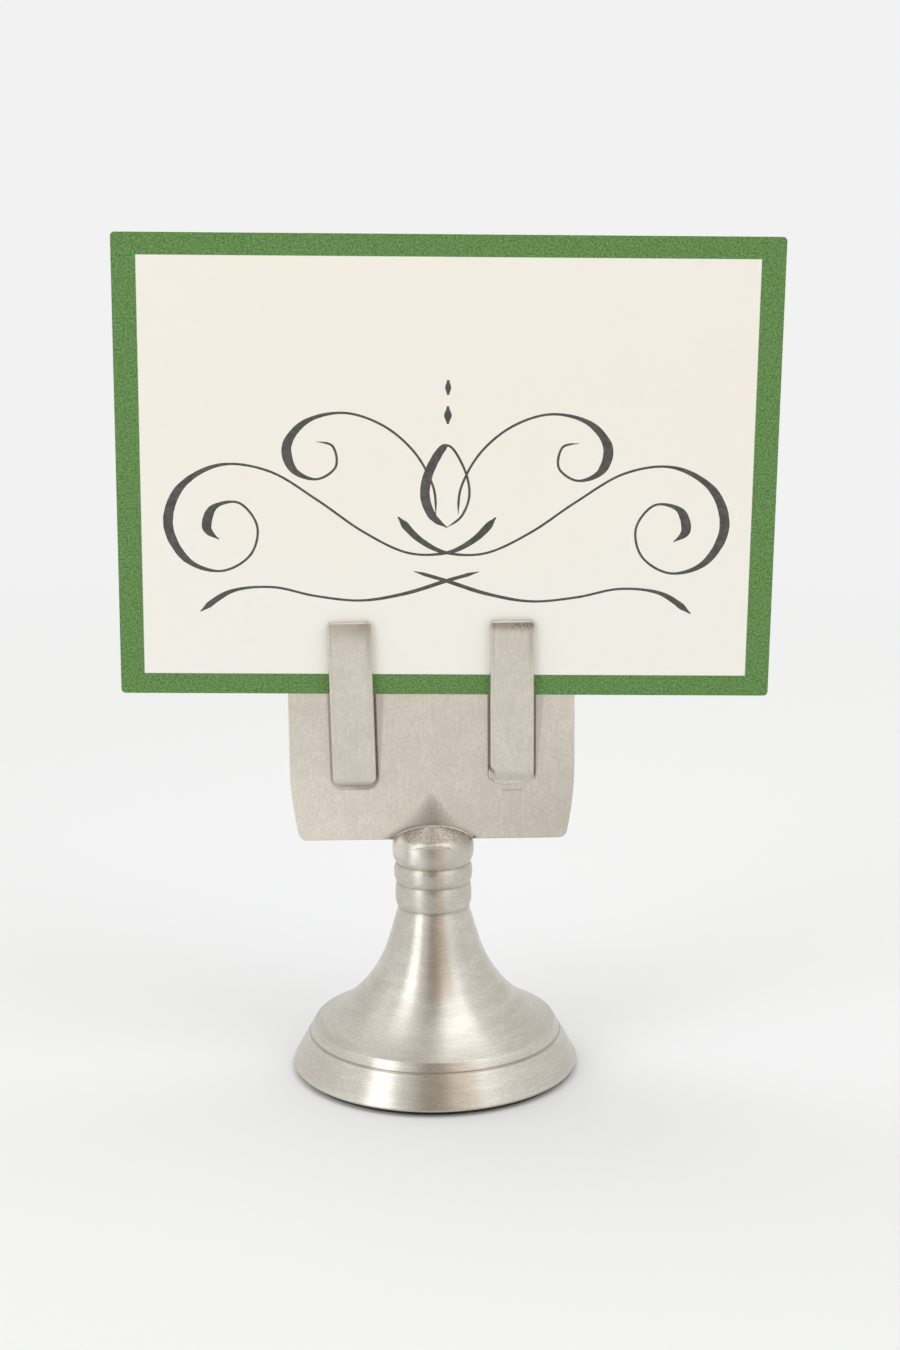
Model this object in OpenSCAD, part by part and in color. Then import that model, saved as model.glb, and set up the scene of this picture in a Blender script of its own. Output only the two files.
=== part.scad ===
// Place card holder: a turned foot and beaded neck that carry an upright plate
// with two spring fingers, which pinch one paper card.
// Millimetres. The origin is the centre of the felt's underside, +Z is up,
// and the card faces -Y.

/* [Felt pad] */
// Thickness of the felt pad
felt_t = 0.7; // [0.4:0.1:2]
// How far the edge of the felt stands in from the edge of the foot
felt_inset = 0.9; // [0.1:0.1:2]

/* [Foot] */
// Widest diameter of the foot, at the bottom of its slanted wall
foot_d = 40.2; // [38:0.1:50]
// Height of the foot, from the felt to the neck
foot_h = 23.1; // [20:0.1:30]
// Height of the slanted wall, up to the fine groove
wall_h = 4.65; // [3:0.05:6]
// Diameter of the foot at the fine groove
groove_d = 35.5; // [33:0.1:37]
// Width of the fine groove
groove_w = 0.3; // [0.1:0.05:0.6]
// Height of the riser over the groove
riser_h = 1.3; // [0.8:0.05:2]
// How far the riser leans in over its height
riser_inset = 0.75; // [0.2:0.05:1]
// Radius of the rounded bottom edge of the wall
edge_r = 0.3; // [0.1:0.1:1]
// Radius of the sweep from the shoulder up to the neck
flare_r = 19.5; // [18:0.1:24]
// Slope of the cone under the neck, from upright, in degrees
flare_angle = 16.2; // [12:0.1:18]
// Diameter of the foot where the neck stands on it
foot_top_d = 9.8; // [9.2:0.1:10.6]

/* [Neck] */
// Diameter of the neck at its grooves and its lower end
neck_d = 10.2; // [9.6:0.1:11]
// Radius to which each bead is rounded
bead_r = 2; // [1.2:0.1:2.4]
// How far the lower bead bulges out past the grooves
lower_bead_bulge = 0.24; // [0.1:0.02:1]
// Height of the lower bead
lower_bead_h = 3.5; // [3:0.1:5]
// How far the middle bead bulges out past the grooves
middle_bead_bulge = 0.38; // [0.1:0.02:1]
// Height of the middle bead
middle_bead_h = 2.8; // [2:0.1:4]
// How far the top bead bulges out past the grooves
top_bead_bulge = 0.6; // [0.3:0.02:1]
// Height of the top bead, from the groove to the peak of its dome
top_bead_h = 5.35; // [5:0.05:7]
// Radius of the shallow dome on the top bead
dome_r = 10.2; // [8:0.1:14]

/* [Back plate] */
// Width of the back plate
plate_w = 39.5; // [34:0.1:50]
// Height of the back plate, from its lower edge in the slot
plate_h = 31.3; // [28:0.1:40]
// Thickness of the back plate
plate_t = 1.5; // [1:0.1:2]
// How deep the plate stands in the slot across the dome
plate_seat = 2.05; // [1.2:0.05:2.6]
// Radius of the lower corners of the plate
plate_corner_r = 1.2; // [0.4:0.1:4]
// Radius of the upper corners of the plate
plate_top_r = 1.5; // [0.5:0.1:3]
// Radius of the drawn-in lower sides of the plate
plate_side_r = 50; // [40:1:80]
// Height over the lower edge at which the sides begin to draw in
plate_side_h = 11; // [8:0.5:14]

/* [Fingers] */
// Width of each finger
finger_w = 6; // [4:0.1:8]
// Thickness of each finger
finger_t = 1; // [0.6:0.1:1.4]
// Length of each finger
finger_l = 23.5; // [20:0.1:26]
// Distance between the lower ends of the fingers, centre to centre
finger_pitch = 21.8; // [18:0.1:26]
// How far the pair of fingers stands to the right of the plate's middle
finger_shift = 0.15; // [0:0.05:1]
// Height of the lower ends of the fingers over the plate's lower edge
finger_foot_h = 7.9; // [6:0.1:12]
// Length of each finger that lies flat on the plate
finger_root_l = 1.5; // [1:0.1:3]
// Radius of the rounded front edge at the tip of a finger
finger_tip_r = 0.7; // [0.2:0.1:1]
// Radius of the lower corners of a finger
finger_corner_r = 0.9; // [0.2:0.1:2]
// Outward lean of the left finger, in degrees
left_lean = 1.05; // [0:0.05:5]
// Outward lean of the right finger, in degrees
right_lean = 0.1; // [0:0.05:5]

/* [Card] */
// Width of the card
card_w = 88.9; // [70:0.1:100]
// Height of the card
card_h = 62.6; // [50:0.1:75]
// Thickness of the card
card_t = 0.3; // [0.2:0.05:0.5]
// Radius of the corners of the card
card_corner_r = 0.6; // [0.2:0.1:3]
// How far the card reaches down behind the tips of the fingers
card_grip = 10.5; // [8:0.1:12]
// How far the middle of the card stands to the right of the neck
card_shift = 1.9; // [0:0.1:5]
// How far the card is turned clockwise between the fingers, in degrees
card_turn = 1; // [0:0.05:2]
// Clearance between the card and each face that it touches
card_gap = 0.03; // [0.02:0.01:0.1]

/* [Tie screw] */
// Diameter of the screw's thread
screw_d = 4; // [3:0.1:4.5]
// Length of the screw under its head
screw_l = 25; // [23:0.5:26]
// Diameter of the screw's head
screw_head_d = 8; // [7.8:0.1:9]
// Height of the screw's head
screw_head_h = 2.4; // [2:0.1:2.6]
// Width of the slot in the screw's head
screw_slot_w = 1.2; // [0.8:0.1:1.6]
// Depth of the slot in the screw's head
screw_slot_depth = 1; // [0.6:0.1:1.4]
// Thickness of the lock washer
washer_t = 0.9; // [0.6:0.1:1.1]
// Outer diameter of the lock washer
washer_d = 7.6; // [6.5:0.1:8]
// Width of the split in the lock washer
washer_split = 0.8; // [0.4:0.1:1.5]
// Diameter of the counterbore under the foot
counterbore_d = 9.4; // [9.2:0.1:12]
// Depth of the counterbore under the foot
counterbore_depth = 4; // [3.8:0.1:6]
// Free depth of the tapped bore past the end of the screw
bore_spare = 1; // [0.5:0.1:2]
// Diameter of the spigot that centres the neck on the foot
spigot_d = 7; // [6:0.1:7.5]
// Length of the spigot
spigot_h = 1.2; // [0.8:0.1:2]
// Radial clearance of the spigot, the thread and the washer
fit_gap = 0.04; // [0.02:0.01:0.1]
// Radial clearance of the screw through the foot
screw_gap = 0.15; // [0.1:0.05:0.3]

/* [Hidden] */
$fn = 96;
overrun = plate_t;

metal = [0.76, 0.735, 0.69];
screw_metal = [0.62, 0.62, 0.62];
felt_colour = [0.16, 0.15, 0.17];
card_colour = [0.95, 0.94, 0.90];

// Levels, from the table up
foot_z = felt_t;
counterbore_z = foot_z + counterbore_depth;
groove_z = foot_z + wall_h;
shoulder_z = groove_z + riser_h;
neck_z = foot_z + foot_h;
middle_bead_z = neck_z + lower_bead_h;
top_bead_z = middle_bead_z + middle_bead_h;
dome_z = top_bead_z + top_bead_h;
plate_z = dome_z - plate_seat;
finger_z = plate_z + finger_foot_h;
tip_z = finger_z + finger_l;
card_z = tip_z - card_grip;
screw_z = counterbore_z - washer_t;
bore_end_z = screw_z + screw_l + bore_spare;

// Radii of the turned pieces
foot_r = foot_d / 2;
groove_r = groove_d / 2;
shoulder_r = groove_r - riser_inset;
foot_top_r = foot_top_d / 2;
neck_r = neck_d / 2;
top_bead_r = neck_r + top_bead_bulge;

// The fingers lean forward so far that the card stops at its grip
plate_front = -plate_t / 2;
card_drop = card_z - finger_z - finger_root_l;
finger_lean = atan((card_t + 2 * card_gap) / card_drop);

// Height that the rounding of a bead takes to bulge out from its groove
function round_h(bulge) = sqrt(2 * bead_r * bulge - bulge * bulge);

// The flare is a cone under the neck and an arc that ends at the shoulder.
// The arc's centre lies flare_r to the side of the cone's line, at the place
// along that line from which the arc reaches the shoulder.
cone_dir = [sin(flare_angle), -cos(flare_angle)];
cone_side = [cos(flare_angle), sin(flare_angle)];
flare_span = [foot_top_r, neck_z] + flare_r * cone_side - [shoulder_r, shoulder_z];
span_along = flare_span * cone_dir;
span_across = sqrt(flare_span * flare_span - span_along * span_along);
cone_l = -span_along - sqrt(flare_r * flare_r - span_across * span_across);
flare_start = [foot_top_r, neck_z] + cone_l * cone_dir;
flare_centre = flare_start + flare_r * cone_side;

module foot_profile() {
    difference() {
        union() {
            polygon([[0, foot_z], [foot_r - edge_r, foot_z], [foot_r, foot_z + edge_r],
                     [groove_r, groove_z], [shoulder_r, shoulder_z], flare_start,
                     [foot_top_r, neck_z], [0, neck_z]]);
            translate([foot_r - edge_r, foot_z + edge_r]) circle(edge_r);
        }
        translate(flare_centre) circle(flare_r);
        translate([groove_r, groove_z]) circle(groove_w / 2);
    }
}

module bead_profile(bulge, h) {
    edge_h = min(round_h(bulge), h / 2);
    intersection() {
        square([neck_r + bulge, h]);
        union() {
            square([neck_r, h]);
            translate([0, edge_h]) square([neck_r + bulge, h - 2 * edge_h]);
            for (level = [edge_h, h - edge_h])
                translate([neck_r + bulge - bead_r, level]) circle(bead_r);
        }
    }
}

// The top bead's upper rounding meets the dome without a corner
module top_bead_profile() {
    edge_h = round_h(top_bead_bulge);
    inner_r = top_bead_r - bead_r;
    reach = dome_r - bead_r;
    corner_h = top_bead_h - dome_r + sqrt(reach * reach - inner_r * inner_r);
    intersection() {
        square([top_bead_r, top_bead_h]);
        union() {
            square([neck_r, edge_h]);
            translate([0, edge_h]) square([top_bead_r, corner_h - edge_h]);
            for (level = [edge_h, corner_h])
                translate([inner_r, level]) circle(bead_r);
            intersection() {
                translate([0, top_bead_h - dome_r]) circle(dome_r);
                translate([0, edge_h]) square([inner_r * dome_r / reach, top_bead_h]);
            }
        }
    }
}

module foot() {
    color(metal) difference() {
        rotate_extrude() foot_profile();
        translate([0, 0, foot_z - overrun])
            cylinder(d = counterbore_d, h = counterbore_depth + overrun);
        cylinder(r = screw_d / 2 + screw_gap, h = neck_z + overrun);
        translate([0, 0, neck_z - spigot_h - fit_gap])
            cylinder(r = spigot_d / 2 + fit_gap, h = spigot_h + fit_gap + overrun);
    }
}

module neck() {
    color(metal) difference() {
        union() {
            translate([0, 0, neck_z - spigot_h])
                cylinder(d = spigot_d, h = spigot_h);
            translate([0, 0, neck_z])
                rotate_extrude() bead_profile(lower_bead_bulge, lower_bead_h);
            translate([0, 0, middle_bead_z])
                rotate_extrude() bead_profile(middle_bead_bulge, middle_bead_h);
            translate([0, 0, top_bead_z])
                rotate_extrude() top_bead_profile();
        }
        cylinder(r = screw_d / 2 + fit_gap, h = bore_end_z);
        translate([-top_bead_r - overrun, plate_front, plate_z])
            cube([2 * (top_bead_r + overrun), plate_t, plate_seat + overrun]);
    }
}

// Upright outline with its lower edge at zero and its middle on the axis
module plate_outline() {
    side_x = plate_w / 2 - plate_side_r;
    reach = plate_side_r - plate_corner_r;
    drop = plate_side_h - plate_corner_r;
    corner_x = side_x + sqrt(reach * reach - drop * drop);
    tangent_z = plate_side_h - drop * plate_side_r / reach;
    top_x = plate_w / 2 - plate_top_r;
    translate([-plate_w / 2, plate_side_h])
        square([plate_w, plate_h - plate_top_r - plate_side_h]);
    translate([-top_x, plate_side_h])
        square([2 * top_x, plate_h - plate_side_h]);
    translate([-corner_x, 0])
        square([2 * corner_x, plate_side_h]);
    for (side = [-1, 1]) {
        translate([side * top_x, plate_h - plate_top_r]) circle(plate_top_r);
        translate([side * corner_x, plate_corner_r]) circle(plate_corner_r);
    }
    intersection() {
        translate([-plate_w / 2, tangent_z])
            square([plate_w, plate_side_h - tangent_z]);
        translate([side_x, plate_side_h]) circle(plate_side_r);
        translate([-side_x, plate_side_h]) circle(plate_side_r);
    }
}

module back_plate() {
    color(metal) translate([0, -plate_front, plate_z])
        rotate([90, 0, 0]) linear_extrude(plate_t) plate_outline();
}

module finger_outline() {
    inner = finger_w / 2 - finger_corner_r;
    translate([-finger_w / 2, finger_corner_r])
        square([finger_w, finger_l - finger_corner_r]);
    translate([-inner, 0]) square([2 * inner, finger_l]);
    for (side = [-1, 1])
        translate([side * inner, finger_corner_r]) circle(finger_corner_r);
}

// Seen from the side: the strip leans forward, and its back is flat on the
// plate below the bend. Zero is the plate's front face at the finger's foot.
module finger_side() {
    strip_l = (finger_l - finger_root_l) / cos(finger_lean);
    tip_r = min(finger_tip_r, finger_t);
    intersection() {
        translate([-plate_w, 0]) square([plate_w, 2 * finger_l]);
        translate([0, finger_root_l]) rotate(finger_lean) difference() {
            translate([-finger_t, -finger_l]) square([finger_t, finger_l + strip_l]);
            translate([-finger_t, strip_l - tip_r]) difference() {
                translate([-overrun, 0]) square([tip_r + overrun, tip_r + overrun]);
                translate([tip_r, 0]) circle(tip_r);
            }
        }
    }
}

module finger(side, lean) {
    color(metal) intersection() {
        translate([side * finger_pitch / 2 + finger_shift, 0, finger_z])
            rotate([90, side * lean, 0]) linear_extrude(2 * plate_w, center = true)
                finger_outline();
        translate([0, plate_front, finger_z])
            rotate([90, 0, 90]) linear_extrude(2 * plate_w, center = true)
                finger_side();
    }
}

module left_finger() {
    finger(-1, left_lean);
}

module right_finger() {
    finger(1, right_lean);
}

module tie_screw() {
    color(screw_metal) {
        translate([0, 0, screw_z]) cylinder(d = screw_d, h = screw_l);
        difference() {
            translate([0, 0, screw_z - screw_head_h])
                cylinder(d = screw_head_d, h = screw_head_h);
            translate([-screw_head_d, -screw_slot_w / 2, foot_z])
                cube([2 * screw_head_d, screw_slot_w,
                      screw_z - screw_head_h + screw_slot_depth - foot_z]);
        }
    }
}

module lock_washer() {
    color(screw_metal) translate([0, 0, screw_z]) difference() {
        cylinder(d = washer_d, h = washer_t);
        translate([0, 0, -overrun])
            cylinder(r = screw_d / 2 + fit_gap, h = washer_t + 2 * overrun);
        translate([0, -washer_split / 2, -overrun])
            cube([washer_d, washer_split, washer_t + 2 * overrun]);
    }
}

module felt_pad() {
    color(felt_colour) cylinder(r = foot_r - felt_inset, h = felt_t);
}

module card_outline() {
    inner = card_w / 2 - card_corner_r;
    translate([-inner, 0]) square([2 * inner, card_h]);
    translate([-card_w / 2, card_corner_r])
        square([card_w, card_h - 2 * card_corner_r]);
    for (side = [-1, 1], level = [card_corner_r, card_h - card_corner_r])
        translate([side * inner, level]) circle(card_corner_r);
}

module place_card() {
    color(card_colour) translate([card_shift, plate_front - card_gap, card_z])
        rotate([finger_lean, 0, 0]) rotate([90, card_turn, 0])
            linear_extrude(card_t) card_outline();
}

foot();
neck();
back_plate();
left_finger();
right_finger();
tie_screw();
lock_washer();
felt_pad();
place_card();
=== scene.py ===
from math import acos, atan2, ceil, cos, degrees, hypot, pi, radians, sin, sqrt, tan, tau

import bmesh
import bpy
from mathutils import Matrix, Vector


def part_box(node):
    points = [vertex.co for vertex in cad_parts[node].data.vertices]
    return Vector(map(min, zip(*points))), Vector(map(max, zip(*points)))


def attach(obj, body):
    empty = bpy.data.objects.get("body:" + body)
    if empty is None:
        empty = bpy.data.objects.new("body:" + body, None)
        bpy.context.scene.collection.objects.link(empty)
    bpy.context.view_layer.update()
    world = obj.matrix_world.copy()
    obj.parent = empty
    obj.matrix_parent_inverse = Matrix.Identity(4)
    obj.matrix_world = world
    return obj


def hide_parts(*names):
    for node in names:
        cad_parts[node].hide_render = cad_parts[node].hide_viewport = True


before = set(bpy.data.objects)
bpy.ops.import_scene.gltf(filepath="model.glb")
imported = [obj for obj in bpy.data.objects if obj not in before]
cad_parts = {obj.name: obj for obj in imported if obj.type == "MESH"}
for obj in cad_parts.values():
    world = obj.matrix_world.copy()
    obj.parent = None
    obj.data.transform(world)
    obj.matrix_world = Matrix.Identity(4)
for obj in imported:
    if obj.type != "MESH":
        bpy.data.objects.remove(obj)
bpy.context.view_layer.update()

mm = 0.001
weld = 0.0005 * mm       # points closer than this are one point
seam = 0.0008 * mm       # and so are these where a turned piece closes
scene = bpy.context.scene
scene.view_settings.view_transform = "Standard"
print("frame loaded:", ", ".join(sorted(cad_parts)))


def nodeBox(node):
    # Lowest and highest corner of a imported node, in mm.
    low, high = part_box(node)
    return Vector(low) / mm, Vector(high) / mm


def putObject(name, data):
    made = bpy.data.objects.new(name, data)
    scene.collection.objects.link(made)
    return made


class Board:
    # A node tree while it is being wired up.
    def __init__(self, tree):
        self.tree = tree

    def node(self, kind, settings=None, sockets=None, out=0):
        made = self.tree.nodes.new(kind)
        for name, value in (settings or {}).items():
            setattr(made, name, value)
        for name, value in (sockets or {}).items():
            if isinstance(value, Wire):
                self.tree.links.new(value.socket, made.inputs[name])
            elif value is not None:
                made.inputs[name].default_value = value
        return Wire(self, made.outputs[out]) if made.outputs else made


class Wire:
    # One output socket. Sums and products of wires add Math nodes.
    def __init__(self, board, socket):
        self.board = board
        self.socket = socket

    def maths(self, operation, *others):
        values = dict(enumerate((self,) + others))
        return self.board.node("ShaderNodeMath", {"operation": operation}, values)

    def other(self, name):
        return Wire(self.board, self.socket.node.outputs[name])

    def __add__(self, other):
        return self.maths("ADD", other)

    def __sub__(self, other):
        return self.maths("SUBTRACT", other)

    def __rsub__(self, other):
        return self.board.node("ShaderNodeMath", {"operation": "SUBTRACT"}, {0: other, 1: self})

    def __mul__(self, other):
        return self.maths("MULTIPLY", other)

    def __truediv__(self, other):
        return self.maths("DIVIDE", other)

    def __neg__(self):
        return self.maths("MULTIPLY", -1)

    def __abs__(self):
        return self.maths("ABSOLUTE")

    __radd__ = __add__
    __rmul__ = __mul__

    def root(self):
        return self.maths("SQRT")

    def least(self, other):
        return self.maths("MINIMUM", other)

    def most(self, other):
        return self.maths("MAXIMUM", other)

    def split(self):
        parts = self.board.node("ShaderNodeSeparateXYZ", {}, {0: self})
        return parts, parts.other(1), parts.other(2)

    def rise(self, start, end, atStart=0.0, atEnd=1.0):
        # Eases from atStart to atEnd as the value goes from start to end, up or down.
        return self.board.node("ShaderNodeMapRange", {"interpolation_type": "SMOOTHSTEP"},
                               {"Value": self, "From Min": start, "From Max": end,
                                "To Min": atStart, "To Max": atEnd})

    def hill(self, centre, halfWidth, soft):
        # One inside halfWidth of centre, and nought past a soft edge.
        return abs(self - centre).rise(halfWidth + soft, halfWidth - soft)


def combine(board, x, y, z):
    return board.node("ShaderNodeCombineXYZ", {}, {0: x, 1: y, 2: z})


def blendColour(board, factor, first, second):
    sockets = {0: factor}
    for place, colour in ((6, first), (7, second)):
        sockets[place] = colour if isinstance(colour, Wire) else (*colour, 1.0)
    return board.node("ShaderNodeMix", {"data_type": "RGBA"}, sockets, out=2)


def cloud(board, place, scale, detail=2.0, roughness=0.5):
    # Noise at a place, which is given as its three coordinates.
    return board.node("ShaderNodeTexNoise", {"noise_dimensions": "3D"},
                      {"Vector": combine(board, *place), "Scale": scale, "Detail": detail,
                       "Roughness": roughness})


def mixLayers(layers, shares, base=0.0):
    # Adds to the base each named layer times its share.
    for name, share in shares.items():
        base = layers[name] * share + base
    return base


def markShare(values, marks):
    # The strongest of the marks at each place. A mark is a product of ramps. A ramp holds what it
    # reads, where it starts and ends, and its shares there. What it reads is a value, or that
    # value's distance from a middle. With no limits the value itself is the share.
    strongest = None
    for mark in marks:
        share = None
        for name, *limits in mark:
            value = values[name] if isinstance(name, str) else abs(values[name[0]] - name[1])
            ramp = value.rise(*limits) if limits else value
            share = ramp if share is None else share * ramp
        strongest = share if strongest is None else strongest.most(share)
    return strongest


def addPlaces(values, places):
    # Names the places where wear and painted light lie. A later place can read an earlier one.
    for name, marks in places.items():
        values[name] = markShare(values, marks)


def newMaterial(name):
    # Returns the material, its board and the place on the object in mm.
    material = bpy.data.materials.new(name)
    material.use_nodes = True
    material.node_tree.nodes.clear()
    board = Board(material.node_tree)
    x, y, z = board.node("ShaderNodeTexCoord", out="Object").split()
    return material, board, (x / mm, y / mm, z / mm)


def finishMaterial(material, board, colour, roughness, relief, look):
    # The relief raises the surface by up to the look's cut, in mm.
    normal = board.node("ShaderNodeBump", {}, {"Strength": 1.0, "Distance": look["cut"] * mm,
                                               "Height": relief})
    shader = board.node("ShaderNodeBsdfPrincipled", {}, {
        "Base Color": colour, "Roughness": roughness, "Normal": normal, **look["sockets"]})
    board.node("ShaderNodeOutputMaterial", {}, {"Surface": shader})
    return material


def layeredFinish(name, look, wearAndPaintedLight=None):
    # Each layer of a look is a cloud: whether it runs round the axis or straight, how often it
    # changes along each direction, and the scale, detail and roughness of its noise. The layers
    # are mixed by their shares into the tone, the roughness and the relief. Darker bands lie
    # round the axis, each with its level, half height and strength. The function for wear and
    # painted light returns the share of tarnish and painted shade, and may add the share of
    # painted highlight and the added roughness.
    material, board, (x, y, z) = newMaterial(name)
    radius = (x * x + y * y + 0.0001).root()
    places = {"round": (x / radius, y / radius, radius - z),
              "straight": (x + look.get("grainSeed", 0.0), y, z)}
    layers = {}
    for layer, (way, scales, *noise) in look["layers"].items():
        place = [value * scale for value, scale in zip(places[way], scales)]
        layers[layer] = cloud(board, place, *noise)
    tone = mixLayers(layers, look["tone"]).rise(*look["toneRange"])
    colour = blendColour(board, tone, look["dull"], look["bright"])
    values = {"x": x, "y": y, "z": z, "radius": radius, **layers}
    patchy = ("grain", 0.25, 0.65, 0.55, 1.0)
    marks = [[(("z", level), half * 0.2, half * 1.8, strength, 0.0), patchy]
             for level, half, strength in look.get("dirt", ())]
    if marks:
        colour = blendColour(board, markShare(values, marks), colour, look["stain"])
    roughness = mixLayers(layers, look["rough"], look["roughness"])
    if wearAndPaintedLight:
        wornAndPaintedLight = wearAndPaintedLight(values)
        # tarnish and painted shade blend towards the stain colour, painted highlight towards a
        # bright colour
        colour = blendColour(board, wornAndPaintedLight["tarnishAndShade"], colour, look["stain"])
        if "paintedHighlight" in wornAndPaintedLight:
            colour = blendColour(board, wornAndPaintedLight["paintedHighlight"], colour, look["paintedHighlight"])
            roughness = roughness + wornAndPaintedLight["coarse"]
    relief = mixLayers(layers, look["relief"])
    return finishMaterial(material, board, colour, roughness, relief, look)


shot = {
    "lens": 66.67,       # mm, on the long side of a 36 mm sensor
    "sensor": 36.0,
    "distance": 335.31,  # mm from the neck's axis, along the floor
    "height": 135.87,
    "pitch": 13.276,     # degrees down
    "yaw": 0.874,        # degrees, from the left
    "roll": -0.5,        # degrees, so uprights lean a little to the left
    "aimX": 2.589,
}


def placeCamera():
    data = bpy.data.cameras.new("shotCamera")
    data.lens = shot["lens"]
    data.sensor_width = shot["sensor"]
    data.clip_start = 0.01
    data.clip_end = 60.0
    camera = putObject("shotCamera", data)
    yaw = radians(shot["yaw"])
    camera.location = Vector((shot["aimX"] - shot["distance"] * sin(yaw),
                              -shot["distance"] * cos(yaw), shot["height"])) * mm
    tilt = radians(90.0 - shot["pitch"])
    aim = Matrix.Rotation(-yaw, 4, "Z") @ Matrix.Rotation(tilt, 4, "X")
    aim = aim @ Matrix.Rotation(radians(shot["roll"]), 4, "Z")
    camera.rotation_euler = aim.to_euler("XYZ")
    scene.camera = camera


placeCamera()
print("camera placed")


studio = {
    "backdrop": (0.888, 0.888, 0.888),  # behind the holder, as the camera sees it
    "behind": (0.80, 0.79, 0.77),    # and as the metal mirrors it at its edges
    "backdropTurn": (-0.2, 0.5),     # how far back a mirrored ray points where the backdrop begins
    "behindTurn": (0.2, 0.6),
    "room": (0.80, 0.815, 0.795),    # walls beside and behind the camera
    "patches": [
        # colour, then middle, half width and softness of its lateral and its rise, in degrees
        ((1.06, 1.05, 1.03), (41.0, 9.0, 9.0), (22.0, 26.0, 14.0)),  # white wall low on the right
        ((1.10, 1.10, 1.08), (48.0, 15.0, 13.0), (66.0, 38.0, 16.0)),    # and higher up
        ((1.08, 1.09, 1.07), (-58.0, 11.0, 12.0), (76.0, 28.0, 18.0)),   # wall past the left box
        ((1.28, 1.27, 1.25), (-25.0, 11.0, 10.0), (84.0, 26.0, 14.0)),   # glow above the left box
        ((0.650, 0.462, 0.294), (17.0, 13.0, 8.0), (12.0, 45.0, 15.0)),  # warm wall on the right
        ((0.288, 0.214, 0.150), (-2.0, 13.0, 7.0), (10.0, 48.0, 18.0)),  # dusk behind the camera
        ((2.0, 2.0, 2.0), (-32.0, 22.0, 14.0), (116.0, 20.0, 14.0)),     # window behind, at left
    ],
    "returned": 0.1,            # share of the light that the metal throws back on floor and card
    "floorColour": (0.748, 0.746, 0.746, 1.0),
    "floorFade": (160.0, 420.0),  # mm from the foot over which the floor fades out
    "floorSize": 3.0,
    "boxHeight": 0.04,          # height that the soft boxes aim at, m
    "boxes": [
        # name, lateral degrees, rise degrees, distance m, width m, height m, spin degrees,
        # strength, colour
        ("leftBox", -43.5, 33.0, 0.80, 0.29, 0.88, -8.0, 1.5, (0.97, 1.0, 1.05)),
        ("topBox", 19.0, 82.0, 0.80, 0.46, 0.96, 17.6, 1.45, (0.95, 1.0, 1.07)),
    ],
}


def studioWorld():
    world = bpy.data.worlds.new("studioWorld")
    world.use_nodes = True
    world.node_tree.nodes.clear()
    board = Board(world.node_tree)
    x, y, z = board.node("ShaderNodeTexCoord", out="Generated").split()
    lateral = x.maths("ARCSINE") * degrees(1.0)
    rise = z.maths("ARCTAN2", -y) * degrees(1.0)
    walls = studio["room"]
    for colour, sideways, upwards in studio["patches"]:
        patch = lateral.hill(*sideways) * rise.hill(*upwards)
        walls = blendColour(board, patch, walls, colour)
    path = board.node("ShaderNodeLightPath")
    mirrored = path.other("Is Glossy Ray").most(path.other("Is Transmission Ray"))
    seen = path.other("Is Camera Ray").most(mirrored * y.rise(*studio["backdropTurn"]))
    edge = mirrored * y.rise(*studio["behindTurn"])
    behind = blendColour(board, edge, studio["backdrop"], studio["behind"])
    colour = blendColour(board, seen, walls, behind)
    thrown = path.other("Diffuse Depth").least(1.0) * path.other("Is Glossy Ray")
    strength = 1.0 - thrown * (1.0 - studio["returned"])
    light = board.node("ShaderNodeBackground", {}, {"Color": colour, "Strength": strength})
    board.node("ShaderNodeOutputWorld", {}, {"Surface": light})
    scene.world = world


def hangSoftBox(name, lateral, rise, distance, width, height, spin, strength, colour):
    data = bpy.data.lights.new(name, "AREA")
    data.shape = "RECTANGLE"
    data.size = width
    data.size_y = height
    data.energy = strength * width * height * pi
    data.color = colour
    box = putObject(name, data)
    lateral, rise = radians(lateral), radians(rise)
    across = Vector((cos(lateral), sin(lateral) * cos(rise), -sin(lateral) * sin(rise)))
    upwards = Vector((0.0, sin(rise), cos(rise)))
    way = across.cross(upwards)
    box.location = Vector((0.0, 0.0, studio["boxHeight"])) + way * distance
    facing = Matrix((across, upwards, way)).transposed()
    box.rotation_euler = (facing @ Matrix.Rotation(radians(spin), 3, "Z")).to_euler()


def layFloor():
    material, board, (x, y, z) = newMaterial("paleFloor")
    away = (x * x + y * y).root().rise(*studio["floorFade"])
    camera = board.node("ShaderNodeLightPath", out="Is Camera Ray")
    paper = board.node("ShaderNodeBsdfDiffuse", {}, {"Color": studio["floorColour"]})
    glow = board.node("ShaderNodeEmission", {}, {"Color": (*studio["backdrop"], 1.0)})
    mixed = board.node("ShaderNodeMixShader", {}, {0: away * camera, 1: paper, 2: glow})
    board.node("ShaderNodeOutputMaterial", {}, {"Surface": mixed})
    size = studio["floorSize"]
    mesh = bpy.data.meshes.new("floor")
    mesh.from_pydata([(-size, -size, 0), (size, -size, 0), (size, size, 0), (-size, size, 0)],
                     [], [(0, 1, 2, 3)])
    mesh.materials.append(material)
    putObject("floor", mesh)


studioWorld()
layFloor()
for softBox in studio["boxes"]:
    hangSoftBox(*softBox)
print("studio lit")


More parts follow.
